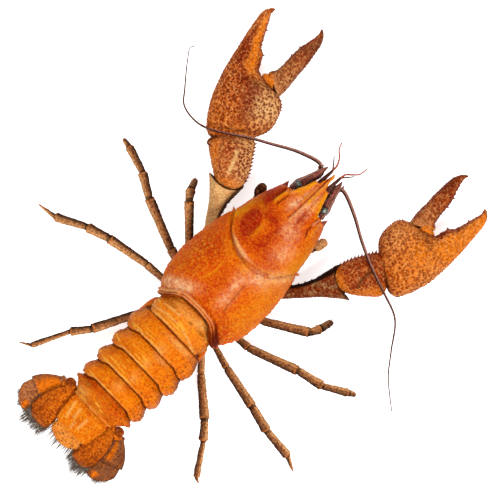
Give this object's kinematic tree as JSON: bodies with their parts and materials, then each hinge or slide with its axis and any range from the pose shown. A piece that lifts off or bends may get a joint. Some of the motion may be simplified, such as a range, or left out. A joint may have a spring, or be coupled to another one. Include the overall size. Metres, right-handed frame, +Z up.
{
  "type": "cooked crayfish",
  "caption": "Whole boiled crayfish lying on its belly: orange shell, open claws reaching forward, splayed legs, swept feelers and a spread tail fan.",
  "frame": {"origin": "middle of the footprint, on the surface that the animal lies on", "axes": "+Y towards the head and claws, +X towards the animal's right, +Z up"},
  "size_m": [0.1218, 0.1456, 0.0249],
  "materials": {
    "shell": "boiled orange shell, finely pitted, waxy gloss",
    "belly": "pale tan breast plates, dull",
    "claw": "brown-orange shell with small dark and pale bumps, soft gloss",
    "leg": "tan and brown speckled shell, satin",
    "fan": "thin ribbed shell, orange with brown-grey rims",
    "feeler": "dark ringed shell with pinkish top, satin",
    "eye": "dark, wet gloss"
  },
  "bodies": {
    "root": {"carapace": "shell", "breast": "belly", "tail_plate_1": "shell", "tail_plate_2": "shell", "tail_plate_3": "shell", "tail_plate_4": "shell", "tail_plate_5": "shell", "tail_plate_6": "shell", "telson": "shell", "fan_knuckle_left": "claw", "fan_inner_left": "fan", "fan_outer_left": "fan", "claw_arm_left": "claw", "claw_wrist_left": "claw", "claw_palm_left": "claw", "claw_finger_left": "claw", "feeler_left": "feeler", "short_feeler_left": "feeler", "feeler_root_left": "leg", "feeler_scale_left": "feeler", "eye_left": "eye", "mouth_limb_left": "leg", "leg_1_left": "leg", "leg_2_left": "leg", "leg_3_left": "leg", "leg_4_left": "leg", "fan_knuckle_right": "claw", "fan_inner_right": "fan", "fan_outer_right": "fan", "claw_arm_right": "claw", "claw_wrist_right": "claw", "claw_palm_right": "claw", "claw_finger_right": "claw", "feeler_right": "feeler", "short_feeler_right": "feeler", "feeler_root_right": "leg", "feeler_scale_right": "feeler", "eye_right": "eye", "mouth_limb_right": "leg", "leg_1_right": "leg", "leg_2_right": "leg", "leg_3_right": "leg", "leg_4_right": "leg"}
  },
  "joints": []
}
